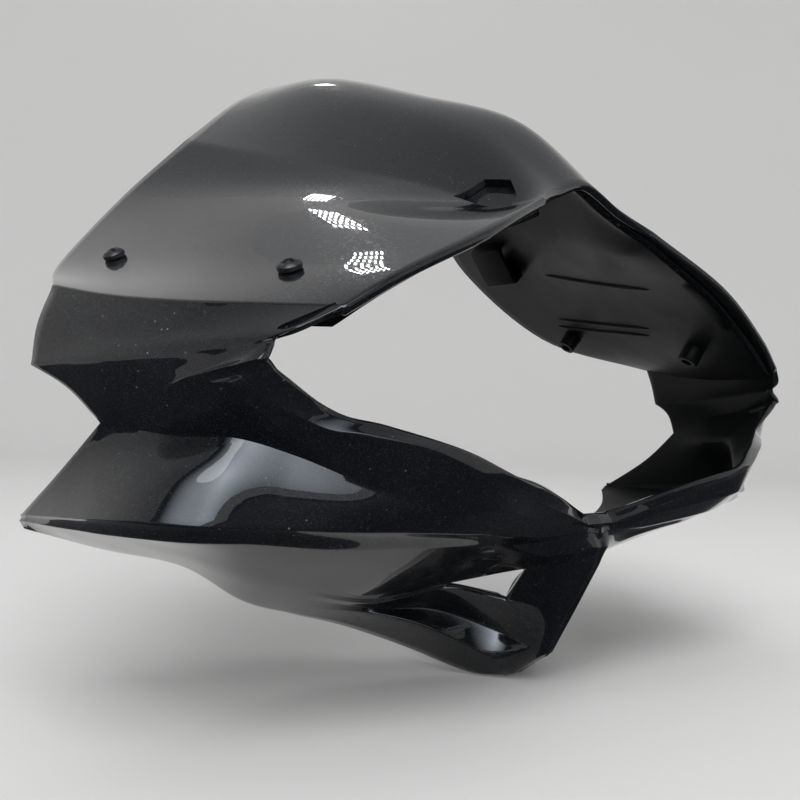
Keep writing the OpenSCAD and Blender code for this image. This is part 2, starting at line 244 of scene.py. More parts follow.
class StageSettings(PropertyGroup):
    floor: colour("Floor", "Colour of the floor and backdrop", (0.78, 0.775, 0.77))
    lens: FloatProperty(name="Lens", description="Focal length in millimetres on a 36 mm sensor",
                        default=38.25)


def unit(v):
    """Vectors scaled to length one along the last axis."""
    return v / np.maximum(np.linalg.norm(v, axis=-1, keepdims=True), 1e-12)


def mirrored(p):
    """The same points on the other side of the centre plane."""
    return np.asarray(p) * np.array([-1.0, 1.0, 1.0])


def catmull(points, at):
    """Smooth curve through points along axis 0, read at parameters at: on each span the cubic
    through both ends with half the difference of their neighbours as its slopes."""
    p = np.asarray(points, float)
    q = np.concatenate([2 * p[:1] - p[1:2], p, 2 * p[-1:] - p[-2:-1]])
    i = np.clip(np.floor(at).astype(int), 0, len(p) - 2)
    t = (at - i).reshape((-1,) + (1,) * (p.ndim - 1))
    a, b, c, d = q[i], q[i + 1], q[i + 2], q[i + 3]
    return b + t / 2 * (c - a + t * (2 * a - 5 * b + 4 * c - d + t * (3 * (b - c) + d - a)))


def smooth(points, steps, corners=()):
    """catmull at even steps, with the slope broken at the points numbered in corners."""
    p = np.asarray(points, float)
    ends = [0, *corners, len(p) - 1]
    runs = [catmull(p[a:b + 1], np.linspace(0, b - a, (b - a) * steps + 1))[0 if a == 0 else 1:]
            for a, b in zip(ends[:-1], ends[1:])]
    return np.concatenate(runs)


def straight(a, b, steps):
    """Columns on straight lines from a to b without b: a + (b - a) k / steps."""
    t = (np.arange(steps) / steps)[None, :, None]
    return a[:, None] + (b - a)[:, None] * t


def rounded(grid, column, radius, steps=FILLET_STEPS):
    """The grid with one column turned into a small fillet: the parabola between the points at
    distance radius before and after it, with the old column as its control point."""
    q = grid[:, column]
    before, after = grid[:, column - 1] - q, grid[:, column + 1] - q
    reach = np.minimum(np.linalg.norm(before, axis=1), np.linalg.norm(after, axis=1))
    r = np.minimum(radius, 0.8 * reach)[:, None]
    a, b = q + r * unit(before), q + r * unit(after)
    t = np.linspace(0, 1, steps + 1)[None, :, None]
    arc = (1 - t) ** 2 * a[:, None] + 2 * t * (1 - t) * q[:, None] + t ** 2 * b[:, None]
    return np.concatenate([grid[:, :column], arc, grid[:, column + 1:]], axis=1)


def grid_normals(grid, spread=1):
    """Cross product of the column and row differences, evened out over spread neighbours."""
    n = unit(np.cross(np.gradient(grid, axis=1), np.gradient(grid, axis=0)))
    for _ in range(spread):
        for axis in (0, 1):
            pad = [(1, 1) if a == axis else (0, 0) for a in range(3)]
            m = np.pad(n, pad, mode="edge")
            n = m.take(range(0, n.shape[axis]), axis) + 2 * n + m.take(range(2, n.shape[axis] + 2), axis)
        n = unit(n)
    return n


def waved(grid, height):
    """The grid moved along its normals by slow low waves, as a moulding has: a sum of sines along
    seven directions with wavelengths from 14 to 45 mm."""
    flat = np.nan_to_num(grid)
    n = np.nan_to_num(grid_normals(flat, 2))
    total = np.zeros(grid.shape[:2])
    for k in range(7):
        a, b = 2.4 * k + 0.7, 1.1 * k
        way = np.array([np.cos(a) * np.cos(b), np.sin(a) * np.cos(b), np.sin(b)])
        total += np.sin(2 * np.pi * (flat @ way) / (14 + 5.2 * k) + 1.7 * k) * (14 + 5.2 * k) / 30
    return grid + height / 7 ** 0.5 * total[..., None] * n


def grid_quads(shape, ring=False, tube=False):
    """Corner numbers of every cell of a grid, facing along columns x rows. A ring joins the last
    row to the first, a tube the last column to the first."""
    rows, cols = shape
    k = np.arange(rows if ring else rows - 1)[:, None]
    c = np.arange(cols if tube else cols - 1)[None]
    k2, c2 = (k + 1) % rows, (c + 1) % cols
    return np.stack([k * cols + c, k * cols + c2, k2 * cols + c2, k2 * cols + c], axis=-1)


def point_normals(points, quads, spread):
    """Area-weighted normals of a mesh of quads, evened out spread times along its edges."""
    p = points[quads]
    face = np.cross(p[:, 2] - p[:, 0], p[:, 3] - p[:, 1])
    n = np.zeros_like(points)
    for j in range(4):
        np.add.at(n, quads[:, j], face)
    n = unit(n)
    for _ in range(spread):
        m = 2 * n
        for j in range(4):
            np.add.at(m, quads[:, j], n[quads[:, (j + 1) % 4]])
            np.add.at(m, quads[:, (j + 1) % 4], n[quads[:, j]])
        n = unit(m)
    return n


def walled(points, quads, wall, edge=0.45, spread=6):
    """Solid wall behind a surface of quads: the same surface moved in by wall along its evened
    normals, and between both a rim whose two corners are cut back by edge."""
    used, quads = np.unique(quads, return_inverse=True)
    points, quads = points[used], quads.reshape(-1, 4)
    n = len(points)
    normal = point_normals(points, quads, spread)
    start, end = quads.ravel(), np.roll(quads, -1, axis=1).ravel()
    rim = ~np.isin(start.astype(np.int64) * n + end, end.astype(np.int64) * n + start)
    a, b = start[rim], end[rim]
    away = np.zeros_like(points)
    out = unit(np.cross(points[b] - points[a], normal[a] + normal[b]))
    np.add.at(away, a, out)
    np.add.at(away, b, out)
    away = unit(away)
    inner = points - wall * normal
    on_rim = np.unique(a)
    place = np.full(n, -1)
    place[on_rim] = np.arange(len(on_rim))
    high = points[on_rim] - edge * normal[on_rim]
    low = inner[on_rim] + edge * normal[on_rim]
    points, inner = points - edge * away, inner - edge * away
    all_points = np.concatenate([points, inner, high, low])
    h, l = 2 * n, 2 * n + len(on_rim)
    pa, pb = place[a], place[b]
    strips = [np.stack([b, a, pa + h, pb + h], -1),
              np.stack([pb + h, pa + h, pa + l, pb + l], -1),
              np.stack([pb + l, pa + l, a + n, b + n], -1)]
    faces = np.concatenate([quads, quads[:, ::-1] + n, *strips])
    kinds = np.concatenate([np.zeros(len(quads), int), np.ones(len(quads), int),
                            np.zeros(len(a), int), np.zeros(2 * len(a), int)])
    return all_points, faces, kinds


def visor_half(steps, along):
    """Outer surface of half the visor: smooth lines from front to rear, then smooth across the
    guide lines over the centre plane, broken at the side crease."""
    lines = np.array([smooth(line, along) for line in VISOR])
    whole = np.concatenate([lines, mirrored(lines[-2::-1])])
    crease = VISOR_CREASE
    grid = smooth(whole, steps, (crease, len(whole) - 1 - crease))
    return grid[:(len(lines) - 1) * steps + 1]


def on_side(rings, side):
    """Rings left as they are, or mirrored with their direction kept for the other side."""
    return mirrored(rings)[:, ::-1] if side < 0 else rings


def both_sides(half):
    """Rows of one half, then the same rows on the other side without the middle one."""
    return np.concatenate([half, mirrored(half[-2::-1])])


def on_visor(spot):
    """Point and outward direction at a place on the guide grid."""
    grid = visor_half(3, 2)
    r, c = int(spot[0]), int(spot[1])
    u, v = spot[0] - r, spot[1] - c
    near = grid[r, c] * (1 - u) + grid[r + 1, c] * u
    far = grid[r, c + 1] * (1 - u) + grid[r + 1, c + 1] * u
    out = unit(np.cross(grid[r + 1, c + 1] - grid[r, c], grid[r + 1, c] - grid[r, c + 1]))
    return near * (1 - v) + far * v, out


def spot_axes(spot):
    """Point and the three axes there, with Z outward and X on the steepest way down."""
    p, z = on_visor(spot)
    tilt, turn = np.arccos(z[2]), np.arctan2(z[1], z[0])
    x = np.array([np.cos(tilt) * np.cos(turn), np.cos(tilt) * np.sin(turn), -np.sin(tilt)])
    return p, np.array([x, np.cross(z, x), z])


def low_half(settings):
    """Lower half of the shell from the chin to the rear edge: at each step between stations one
    row from the opening's edge over the cheek, the flute and the belly down to the hem."""
    lines = {name: np.array(p, float) for name, p in LOW.items()}
    for name, (p, share) in SLOT.items():
        rest = lines["ridge"][5:] * (1 - share) + lines["hem"][5:] * share
        lines[name] = np.concatenate([np.array(p, float), rest])
    q = {name: smooth(p, ROW_STEPS, (CHIN_CORNER,) if name in ("edge", "rim") else ())
         for name, p in lines.items()}
    middle = (q["side"] + q["ridge"]) / 2
    groove = middle + settings.flute / MM / 2 * unit(q["edge"] - middle)
    band = smooth(np.stack([q["valley"], q["shoulder"], q["side"]]), LOBE_STEPS)[:-1].transpose(1, 0, 2)
    flute = smooth(np.stack([q["side"], groove, q["ridge"]]), FLUTE_STEPS)[:-1].transpose(1, 0, 2)
    order = ["ridge", "slot_top", "slot_in", "sill", "strip_in", "strip_out", "hem"]
    blocks = [straight(q["edge"], q["rim"], LIP_STEPS), straight(q["rim"], q["valley"], CHEEK_STEPS),
              band, flute]
    blocks += [straight(q[a], q[b], n) for a, b, n in zip(order[:-1], order[1:], BELLY_STEPS)]
    blocks.append(q["hem"][:, None])
    names = ["edge", "rim", "valley", "side"] + order
    at = dict(zip(names, np.cumsum([0] + [b.shape[1] for b in blocks])))
    return np.concatenate(blocks, axis=1), at


def upper_half(visor, low_end, drop):
    """Flank rows, blended into the end of the lower half and into the visor's lower edge, then
    deck rows: the visor's surface moved in by drop millimetres, with a lip turned in."""
    u = np.linspace(0, 1, CHEEK_STEPS + 1)
    f = {name: smooth(p, FLANK_STEPS, (2,) if name == "rear" else ()) for name, p in FLANK.items()}
    lip = straight(f["edge"], f["rim"], LIP_STEPS)
    cheek = catmull(np.stack([f["rim"], f["middle"], f["rear"]]), 2 * u).transpose(1, 0, 2)
    whole = np.concatenate([lip, cheek], axis=1)
    last = len(whole) - 1
    fade_in = np.clip(1 - np.arange(last + 1) / (1.5 * FLANK_STEPS), 0, 1)[:, None, None] ** 2
    fade_out = np.clip(1 - (last - np.arange(last + 1)) / (1.5 * FLANK_STEPS), 0, 1)[:, None, None] ** 2
    top = np.concatenate([whole[-1, :LIP_STEPS], visor[0]])
    whole = whole + fade_in * (low_end - whole[0]) + fade_out * (top - whole[-1])
    out = grid_normals(both_sides(visor), 2)[:len(visor)]
    deck = visor - drop * out
    deck[:, 0] += DECK_START * (deck[:, 1] - deck[:, 0])
    front = deck[:, 0]
    inner = front - LIP_IN * out[:, 0] + np.array([0, LIP_BACK, 0])
    deck = np.concatenate([straight(inner, front, LIP_STEPS), deck], axis=1)
    return np.concatenate([whole[1:], deck])


def new_object(name, points, faces, materials, kinds=None, sharp=50.0, to_frame=True):
    """Mesh object at the origin from points in millimetres, smooth up to the sharp angle."""
    points = (np.asarray(points, float) - (TO_FRAME if to_frame else 0)) * MM
    if to_frame:
        points = np.clip(points, np.array(CAD_BOX[0]), np.array(CAD_BOX[1]))
    mesh = bpy.data.meshes.new(name)
    mesh.from_pydata(points.tolist(), [], faces.tolist() if isinstance(faces, np.ndarray) else faces)
    for material in materials:
        mesh.materials.append(material)
    if kinds is not None and len(mesh.polygons) == len(kinds):
        mesh.polygons.foreach_set("material_index", np.asarray(kinds, np.int32))
    mesh.polygons.foreach_set("use_smooth", np.ones(len(mesh.polygons), bool))
    mesh.set_sharp_from_angle(angle=np.radians(sharp))
    mesh.update()
    obj = bpy.data.objects.new(name, mesh)
    bpy.context.collection.objects.link(obj)
    return obj


def socket(group, name, direction="INPUT", default=None, kind="NodeSocketFloat"):
    """New socket of a node group, with its default value."""
    s = group.interface.new_socket(name=name, in_out=direction, socket_type=kind)
    if default is not None:
        s.default_value = default
    return s


def node(tree, kind, **values):
    """New node with its properties and input values set."""
    n = tree.nodes.new(kind)
    for key, value in values.items():
        if hasattr(n, key):
            setattr(n, key, value)
        else:
            n.inputs[key.replace("_", " ")].default_value = value
    return n


def wire(tree, *ends):
    """Links sockets pair by pair: an output, then the input that it feeds."""
    for a, b in zip(ends[::2], ends[1::2]):
        tree.links.new(a, b)


def product(tree, a, b):
    """Product of two sockets."""
    n = node(tree, "ShaderNodeMath", operation="MULTIPLY")
    wire(tree, a, n.inputs[0], b, n.inputs[1])
    return n.outputs[0]


def mapped(tree, value, **limits):
    """A value carried from one range to another."""
    n = node(tree, "ShaderNodeMapRange", **limits)
    wire(tree, value, n.inputs["Value"])
    return n.outputs[0]


def flake_group():
    """Fine pearl flakes: cells of random brightness, and a very slight bump from the same cells."""
    if "Pearl flake" in bpy.data.node_groups:
        return bpy.data.node_groups["Pearl flake"]
    g = bpy.data.node_groups.new("Pearl flake", "ShaderNodeTree")
    socket(g, "Vector", kind="NodeSocketVector")
    socket(g, "Scale", default=2600.0)
    socket(g, "Share", default=0.2)
    socket(g, "Mask", "OUTPUT")
    socket(g, "Height", "OUTPUT")
    i, o = g.nodes.new("NodeGroupInput"), g.nodes.new("NodeGroupOutput")
    cells = node(g, "ShaderNodeTexVoronoi")
    ramp = node(g, "ShaderNodeMapRange")
    less = node(g, "ShaderNodeMath", operation="SUBTRACT")
    less.inputs[0].default_value = 1.0
    split = node(g, "ShaderNodeSeparateColor")
    wire(g, i.outputs["Vector"], cells.inputs["Vector"], i.outputs["Scale"], cells.inputs["Scale"],
         cells.outputs["Color"], split.inputs[0], i.outputs["Share"], less.inputs[1],
         split.outputs[0], ramp.inputs["Value"], less.outputs[0], ramp.inputs["From Min"],
         ramp.outputs[0], o.inputs["Mask"], split.outputs[1], o.inputs["Height"])
    return g


def dust_group():
    """Fine dust: small round specks where a broad noise lets them lie, with a faint even haze."""
    if "Fine dust" in bpy.data.node_groups:
        return bpy.data.node_groups["Fine dust"]
    g = bpy.data.node_groups.new("Fine dust", "ShaderNodeTree")
    socket(g, "Vector", kind="NodeSocketVector")
    socket(g, "Specks", default=0.5)
    socket(g, "Haze", default=0.1)
    socket(g, "Mask", "OUTPUT")
    i, o = g.nodes.new("NodeGroupInput"), g.nodes.new("NodeGroupOutput")
    cells = node(g, "ShaderNodeTexVoronoi", Scale=420.0)
    broad = node(g, "ShaderNodeTexNoise", Scale=26.0, Detail=4.0, Roughness=0.6)
    split = node(g, "ShaderNodeSeparateColor")
    pick = node(g, "ShaderNodeMath", operation="GREATER_THAN")
    pick.inputs[1].default_value = 0.78
    total = node(g, "ShaderNodeMath", operation="ADD", use_clamp=True)
    wire(g, i.outputs["Vector"], cells.inputs["Vector"], i.outputs["Vector"], broad.inputs["Vector"],
         cells.outputs["Color"], split.inputs[0], split.outputs[2], pick.inputs[0])
    dot = mapped(g, cells.outputs["Distance"], From_Min=0.05, From_Max=0.16, To_Min=1.0, To_Max=0.0)
    lay = mapped(g, broad.outputs["Fac"], From_Min=0.4, From_Max=0.7)
    specks = product(g, product(g, dot, pick.outputs[0]), i.outputs["Specks"])
    wire(g, product(g, specks, lay), total.inputs[0],
         product(g, lay, i.outputs["Haze"]), total.inputs[1], total.outputs[0], o.inputs["Mask"])
    return g


def place(tree, group, **values):
    """A node group placed in a material with its own values."""
    n = tree.nodes.new("ShaderNodeGroup")
    n.node_tree = group
    for key, value in values.items():
        n.inputs[key].default_value = value
    return n


def material(name):
    """Empty node material with its Principled shader and the object's own coordinates."""
    m = bpy.data.materials.new(name)
    m.use_nodes = True
    t = m.node_tree
    where = node(t, "ShaderNodeTexCoord")
    mapping = node(t, "ShaderNodeMapping")
    wire(t, where.outputs["Object"], mapping.inputs["Vector"])
    return m, t, t.nodes["Principled BSDF"], mapping.outputs["Vector"]


def mixed(tree, factor, a, b):
    """Colour mix by a factor, which is a socket. Each colour is a socket or three plain values."""
    m = node(tree, "ShaderNodeMix", data_type="RGBA")
    for index, value in ((0, factor), (6, a), (7, b)):
        if isinstance(value, bpy.types.NodeSocket):
            wire(tree, value, m.inputs[index])
        else:
            m.inputs[index].default_value = (*value, 1.0)
    return m.outputs[2]


def bumped(tree, shader, height, strength, distance):
    """Bump of a height into the shader's normal."""
    bump = node(tree, "ShaderNodeBump", Strength=strength, Distance=distance)
    wire(tree, height, bump.inputs["Height"], bump.outputs[0], shader.inputs["Normal"])


def scaled(tone, factor):
    """A plain colour made darker or lighter."""
    return tuple(c * factor for c in tone)


def gloss_material(name, finish, dust_specks, dust_haze):
    """Gloss black over pearl flake: dark base with flakes, a smooth clear coat and fine dust."""
    m, t, shader, vector = material(name)
    flakes = place(t, flake_group(), Scale=3200.0, Share=0.22)
    coarse = place(t, flake_group(), Scale=1500.0, Share=0.03)
    dust = place(t, dust_group(), Specks=dust_specks, Haze=dust_haze)
    tone = node(t, "ShaderNodeTexNoise", Scale=9.0, Detail=3.0)
    both = node(t, "ShaderNodeMath", operation="MAXIMUM")
    wire(t, flakes.outputs["Mask"], both.inputs[0], coarse.outputs["Mask"], both.inputs[1])
    for n in (flakes, coarse, dust, tone):
        wire(t, vector, n.inputs["Vector"])
    lies = dust.outputs["Mask"]
    base = mixed(t, tone.outputs["Fac"], scaled(finish.gloss, 0.8), scaled(finish.gloss, 1.25))
    base = mixed(t, both.outputs[0], base, tuple(finish.flake))
    wire(t, mixed(t, lies, base, tuple(finish.dust)), shader.inputs["Base Color"],
         mapped(t, lies, To_Min=0.28, To_Max=0.8), shader.inputs["Roughness"],
         mapped(t, lies, To_Min=1.0, To_Max=0.35), shader.inputs["Coat Weight"])
    bumped(t, shader, flakes.outputs["Height"], 0.05, 0.0002)
    shader.inputs["Specular IOR Level"].default_value = 0.06
    shader.inputs["Coat Roughness"].default_value = 0.02
    shader.inputs["IOR"].default_value = 1.45
    return m


def satin_material(name, finish):
    """Bare moulded plastic of the inner side: fine grain, faint flow marks and dust."""
    m, t, shader, vector = material(name)
    grain = node(t, "ShaderNodeTexNoise", Scale=1400.0, Detail=3.0, Roughness=0.6)
    flow = node(t, "ShaderNodeTexNoise", Scale=14.0, Detail=5.0, Roughness=0.65)
    flow.inputs["Distortion"].default_value = 1.2
    dust = place(t, dust_group(), Specks=0.25, Haze=0.008)
    for n in (grain, flow, dust):
        wire(t, vector, n.inputs["Vector"])
    base = mixed(t, flow.outputs["Fac"], scaled(finish.inside, 0.65), scaled(finish.inside, 1.5))
    wire(t, mixed(t, dust.outputs["Mask"], base, tuple(finish.dust)), shader.inputs["Base Color"],
         mapped(t, flow.outputs["Fac"], From_Min=0.3, From_Max=0.7, To_Min=0.34, To_Max=0.5),
         shader.inputs["Roughness"])
    bumped(t, shader, grain.outputs["Fac"], 0.12, 0.0002)
    shader.inputs["Specular IOR Level"].default_value = 0.1
    return m


def screw_material(name, finish):
    """Blackened steel with a brushed head and brighter worn spots."""
    m, t, shader, vector = material(name)
    brushed = node(t, "ShaderNodeTexNoise", Scale=2200.0, Detail=2.0)
    worn = node(t, "ShaderNodeTexNoise", Scale=600.0, Detail=4.0, Roughness=0.7)
    for n in (brushed, worn):
        wire(t, vector, n.inputs["Vector"])
    pick = mapped(t, worn.outputs["Fac"], From_Min=0.58, From_Max=0.75)
    wire(t, mixed(t, pick, tuple(finish.screw), (0.22, 0.21, 0.2)), shader.inputs["Base Color"],
         mapped(t, brushed.outputs["Fac"], To_Min=0.25, To_Max=0.5), shader.inputs["Roughness"])
    bumped(t, shader, brushed.outputs["Fac"], 0.1, 0.0001)
    shader.inputs["Metallic"].default_value = 0.85
    return m


def mottled(name, scale, dark, light, roughness):
    """Plain material whose colour drifts between two tones, and its shader."""
    m, t, shader, vector = material(name)
    noise = node(t, "ShaderNodeTexNoise", Scale=scale, Detail=2.0)
    wire(t, vector, noise.inputs["Vector"], mixed(t, noise.outputs["Fac"], dark, light),
         shader.inputs["Base Color"])
    shader.inputs["Roughness"].default_value = roughness
    return m, shader


def finish_of(name, context):
    """The named finish, built on its first use."""
    if name in bpy.data.materials:
        return bpy.data.materials[name]
    finish = context.scene.cowl_finish
    if name == "Pearl black":
        return gloss_material(name, finish, 0.5, 0.008)
    if name == "Pearl black visor":
        return gloss_material(name, finish, 0.35, 0.006)
    if name == "Bare plastic":
        return satin_material(name, finish)
    return screw_material(name, finish)


def turned(radii, heights, angles):
    """Rings about Z: each point (r, z) of the profile goes to (r cos a, r sin a, z)."""
    r, z = radii[:, None], heights[:, None]
    return np.stack([r * np.cos(angles), r * np.sin(angles), np.repeat(z, len(angles), 1)], -1)


def lathe(profile, sides):
    """Surface of revolution about Z, as one ring at each point (r, z) of the profile."""
    r, z = np.asarray(profile, float).T
    return turned(r, z, np.linspace(0, 2 * np.pi, sides, endpoint=False))


def closed_rings(rings, loop=False):
    """Faces of stacked rings, closed at both ends by one face each, or end to end for a loop."""
    k, s = rings.shape[:2]
    faces = grid_quads((k, s), ring=loop, tube=True).reshape(-1, 4).tolist()
    if not loop:
        faces += [list(range(s))[::-1], list(range((k - 1) * s, k * s))]
    return rings.reshape(-1, 3), faces


class COWL_OT_shell(Operator):
    """One thick ring of guide-line surfaces round the lamp opening"""
    bl_idname = "cowl.shell"
    bl_label = "Moulded shell"

    def execute(self, context):
        s, v = context.scene.cowl_shell, context.scene.cowl_visor
        low, at = low_half(s)
        visor = visor_half(DECK_STEPS, CHEEK_STEPS // 4)
        upper = upper_half(visor, low[-1, :at["valley"] + 1], (v.wall + v.gap) / MM)
        r = s.crease / MM
        grow = np.clip(np.arange(len(low)) / (1.5 * ROW_STEPS), 0.25, 1)
        for name, size in CREASES.items():
            low = rounded(low, at[name], size * r * grow)
            at = {k: n + FILLET_STEPS if n > at[name] else n for k, n in at.items()}
        low, upper = rounded(low, at["rim"], r), rounded(upper, at["rim"], r)
        at = {k: n + FILLET_STEPS if n > at["rim"] else n for k, n in at.items()}
        outside = at["rim"] + FILLET_STEPS
        wide = np.full((len(upper), low.shape[1], 3), np.nan)
        wide[:, :upper.shape[1]] = upper
        wave = waved(low, WAVE_HEIGHT) - low
        fade = np.clip((np.arange(len(low)) - ROW_STEPS) / ROW_STEPS, 0, 1)[:, None, None]
        low[:, outside:] += (wave * fade)[:, outside:]
        half = np.concatenate([low, wide])
        ring = np.concatenate([half, mirrored(half[-2:0:-1])])
        cells = grid_quads(ring.shape[:2], ring=True)
        solid = np.isfinite(ring.reshape(-1, 3)[cells]).all(axis=(-1, -2))
        first, last = (n * ROW_STEPS for n in HOLE_STATIONS)
        columns = slice(at["slot_in"] + FILLET_STEPS // 2, at["sill"] + FILLET_STEPS // 2)
        solid[first:last, columns] = False
        solid[len(ring) - last:len(ring) - first, columns] = False
        points, faces, kinds = walled(np.nan_to_num(ring.reshape(-1, 3)), cells[solid], s.wall / MM)
        finishes = [finish_of(name, context) for name in ("Pearl black", "Bare plastic")]
        obj = new_object("cowl_moulding", points, faces, finishes, kinds)
        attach(obj, "root")
        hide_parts("cowl_shell")
        return {"FINISHED"}


class COWL_OT_visor(Operator):
    """Separate panel over the deck, with its vents and screw holes"""
    bl_idname = "cowl.visor"
    bl_label = "Visor panel"

    def execute(self, context):
        v, f = context.scene.cowl_visor, context.scene.cowl_fittings
        half = visor_half(VISOR_STEPS, VISOR_ALONG).transpose(1, 0, 2)
        half = rounded(half, VISOR_CREASE * VISOR_STEPS, v.crease / MM, 6).transpose(1, 0, 2)
        half[0] += v.gap / MM * unit(half[1] - half[0])
        grid = both_sides(half)
        cells = grid_quads(grid.shape[:2]).reshape(-1, 4)
        points, faces, kinds = walled(grid.reshape(-1, 3), cells, v.wall / MM, spread=3)
        finishes = [finish_of(name, context) for name in ("Pearl black visor", "Bare plastic")]
        obj = new_object("visor_moulding", points, faces, finishes, kinds)
        cutters = []
        for side in (1, -1):
            p, axes = spot_axes(VENT_SPOT)
            closed = np.array(VENT_OUTLINE + VENT_OUTLINE[:1], float)
            outline = smooth(closed, 3, range(1, len(VENT_OUTLINE)))[:-1]
            rings = np.array([np.c_[outline, np.full(len(outline), z)] for z in (-12.0, 12.0)])
            cutters.append((rings @ axes + p, side))
            for spot in (FRONT_SPOT, REAR_SPOT):
                p, axes = spot_axes(spot)
                rings = lathe([[f.shank / MM / 2 + 0.4, -8], [f.shank / MM / 2 + 0.4, 5]], 32)
                cutters.append((rings @ axes + p, side))
        for rings, side in cutters:
            cut_out(obj, *closed_rings(on_side(rings, side)))
        obj.data.set_sharp_from_angle(angle=np.radians(50))
        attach(obj, "root")
        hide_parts("visor_panel")
        return {"FINISHED"}


def cut_out(obj, points, faces):
    """The object's mesh less the solid of the given faces."""
    tool = new_object("cutter", points, faces, [])
    mod = obj.modifiers.new("Cut", "BOOLEAN")
    mod.operation, mod.solver, mod.object = "DIFFERENCE", "EXACT", tool
    bpy.context.view_layer.update()
    graph = bpy.context.evaluated_depsgraph_get()
    mesh = bpy.data.meshes.new_from_object(obj.evaluated_get(graph))
    obj.modifiers.clear()
    old = obj.data
    obj.data = mesh
    bpy.data.meshes.remove(old)
    bpy.data.objects.remove(tool)
    mesh.name = obj.name


def screw_surface(f):
    """Pan-head screw about Z with its seat in the XY plane: rings of the profile, and over the head
    a cross recess whose depth falls with the distance from the cross."""
    head, high = f.head / MM / 2, f.head_height / MM
    shank, long = f.shank / MM / 2, f.shank_length / MM
    t = np.linspace(0, 1, 26)[1:]
    dome = np.stack([head * (1 - t) + 0.001, high * (0.5 + 0.5 * (1 - (1 - t) ** 2.6))], -1)
    crest = -long + 2.2 + THREAD_PITCH * np.arange(THREAD_TURNS)
    radius = np.full(THREAD_TURNS, shank)
    turns = np.stack([radius, crest, radius - THREAD_DEPTH, crest + THREAD_PITCH / 2], 1).reshape(-1, 2)
    profile = np.concatenate([[[0.3, -long], [0.5, -long]], turns, [[shank, -0.4], [shank, 0]],
                              [[head - 0.25, 0.0], [head, 0.25], [head, high * 0.5]], dome])
    rings = lathe(profile, 96)
    x, y = rings[..., 0], rings[..., 1]
    turn = np.radians(RECESS_TURN)
    u, w = np.abs(x * np.cos(turn) + y * np.sin(turn)), np.abs(-x * np.sin(turn) + y * np.cos(turn))
    near, far = np.minimum(u, w), np.maximum(u, w)
    arm = np.clip((0.62 - near) / 0.22, 0, 1) * np.clip((head * 0.6 - far) / 0.35, 0, 1)
    on_head = rings[..., 2] > high * 0.55
    rings[..., 2] -= np.where(on_head, arm * (high * 0.62) * np.clip(1.15 - far / head, 0, 1), 0)
    return rings


class COWL_OT_screws(Operator):
    """Four pan-head screws through the visor into the deck's bosses"""
    bl_idname = "cowl.screws"
    bl_label = "Screws"

    def execute(self, context):
        v, f = context.scene.cowl_visor, context.scene.cowl_fittings
        rings = screw_surface(f) + np.array([0, 0, v.gap / MM])
        for spot, row in ((FRONT_SPOT, "front"), (REAR_SPOT, "rear")):
            for side, hand in ((1, "left"), (-1, "right")):
                p, axes = spot_axes(spot)
                placed = on_side(rings @ axes + p, side)
                name = f"screw_{row}_{hand}"
                steel = finish_of("Blackened steel", context)
                obj = new_object(name + "_detail", *closed_rings(placed), [steel], sharp=35)
                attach(obj, "root")
                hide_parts(name)
        return {"FINISHED"}


def rounded_rectangle(low, high, radius, count=64):
    """Points round a rectangle with round corners, at even angles from its middle."""
    low, high = np.asarray(low, float), np.asarray(high, float)
    centre, half = (low + high) / 2, (high - low) / 2
    a = np.linspace(0, 2 * np.pi, count, endpoint=False) + np.pi / count
    d = np.c_[np.cos(a), np.sin(a)]
    inner = half - radius
    reach = 1 / np.maximum(np.abs(d[:, 0]) / half[0], np.abs(d[:, 1]) / half[1])
    p = d * reach[:, None]
    core = np.clip(p, -inner, inner)
    return centre + core + radius * unit(p - core + 1e-9 * d)


